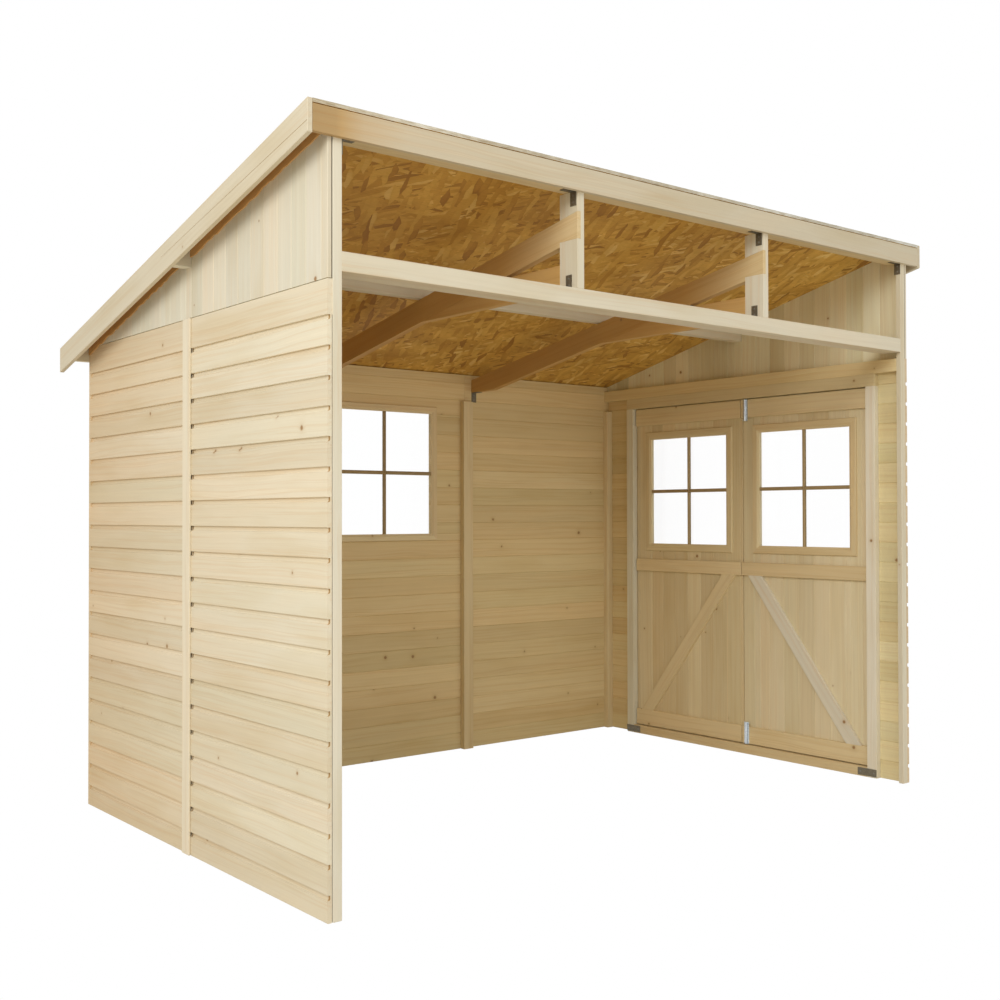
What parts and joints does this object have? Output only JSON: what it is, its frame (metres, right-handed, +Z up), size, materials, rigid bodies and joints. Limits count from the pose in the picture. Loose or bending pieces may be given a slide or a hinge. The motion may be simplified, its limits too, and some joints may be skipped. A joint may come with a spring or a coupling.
{
  "type": "timber lean-to garden shed",
  "caption": "Lean-to wooden garden shed: one long side open, boarded walls, strand-board pent roof, small window and a glazed double door in the end wall.",
  "frame": {"origin": "centre of the footprint's bounding box, on the ground", "axes": "+X along the open high side towards the door wall, +Y from the open side to the low back wall, +Z up"},
  "size_m": [3.21, 2.108, 2.4549],
  "materials": {
    "wall_boards": "unpainted planed spruce boards with small knots",
    "vertical_boards": "unpainted planed spruce boards with small knots",
    "frame_timber": "planed softwood battens",
    "trim_timber": "planed softwood boards",
    "strand_board": "pressed strand board",
    "window_glass": "clear pane",
    "bracket_steel": "dark zinc-plated angle",
    "hinge_steel": "black painted strap hinge",
    "bolt_steel": "bright zinc-plated bolt"
  },
  "bodies": {
    "shed": {"back_wall_left_panel": "wall_boards", "back_wall_right_panel": "wall_boards", "back_wall_window_panel": "wall_boards", "back_window_frame": "trim_timber", "back_window_pane": "window_glass", "barge_boards": "trim_timber", "door_frame_head_and_sill": "frame_timber", "door_frame_hinges": "hinge_steel", "door_frame_jambs": "frame_timber", "frame_brackets": "bracket_steel", "front_corner_posts": "frame_timber", "left_gable_front_panel": "vertical_boards", "left_gable_rear_panel": "vertical_boards", "left_wall_front_panel": "wall_boards", "left_wall_joint_batten": "trim_timber", "left_wall_rear_panel": "wall_boards", "open_side_mid_beam": "frame_timber", "open_side_top_beam": "frame_timber", "rafter_ties": "frame_timber", "rafters": "frame_timber", "rear_corner_posts": "frame_timber", "right_gable_front_panel": "vertical_boards", "right_gable_rear_panel": "vertical_boards", "right_wall_front_panel": "wall_boards", "right_wall_header_panel": "frame_timber", "right_wall_rear_panel": "wall_boards", "roof_deck_front": "strand_board", "roof_deck_rear": "strand_board", "roof_front_fascia": "trim_timber", "roof_purlins": "frame_timber", "short_posts": "frame_timber", "side_wall_top_plates": "frame_timber", "wall_joint_studs": "frame_timber"},
    "front_door": {"front_door_boards": "vertical_boards", "front_door_bolts": "bolt_steel", "front_door_brace": "frame_timber", "front_door_hinges": "hinge_steel", "front_door_rails": "frame_timber", "front_door_window_frame": "trim_timber", "front_door_window_pane": "window_glass"},
    "rear_door": {"rear_door_boards": "vertical_boards", "rear_door_brace": "frame_timber", "rear_door_hinges": "hinge_steel", "rear_door_rails": "frame_timber", "rear_door_window_frame": "trim_timber", "rear_door_window_pane": "window_glass"}
  },
  "joints": [
    {"name": "front_door_hinge", "type": "hinge", "parent": "shed", "child": "front_door", "pos_m": [1.537, -0.8635, 0.9], "axis": [0, 0, -1], "range_deg": [0, 170]},
    {"name": "rear_door_hinge", "type": "hinge", "parent": "shed", "child": "rear_door", "pos_m": [1.537, 0.6915, 0.9], "axis": [0, 0, 1], "range_deg": [0, 170]}
  ]
}
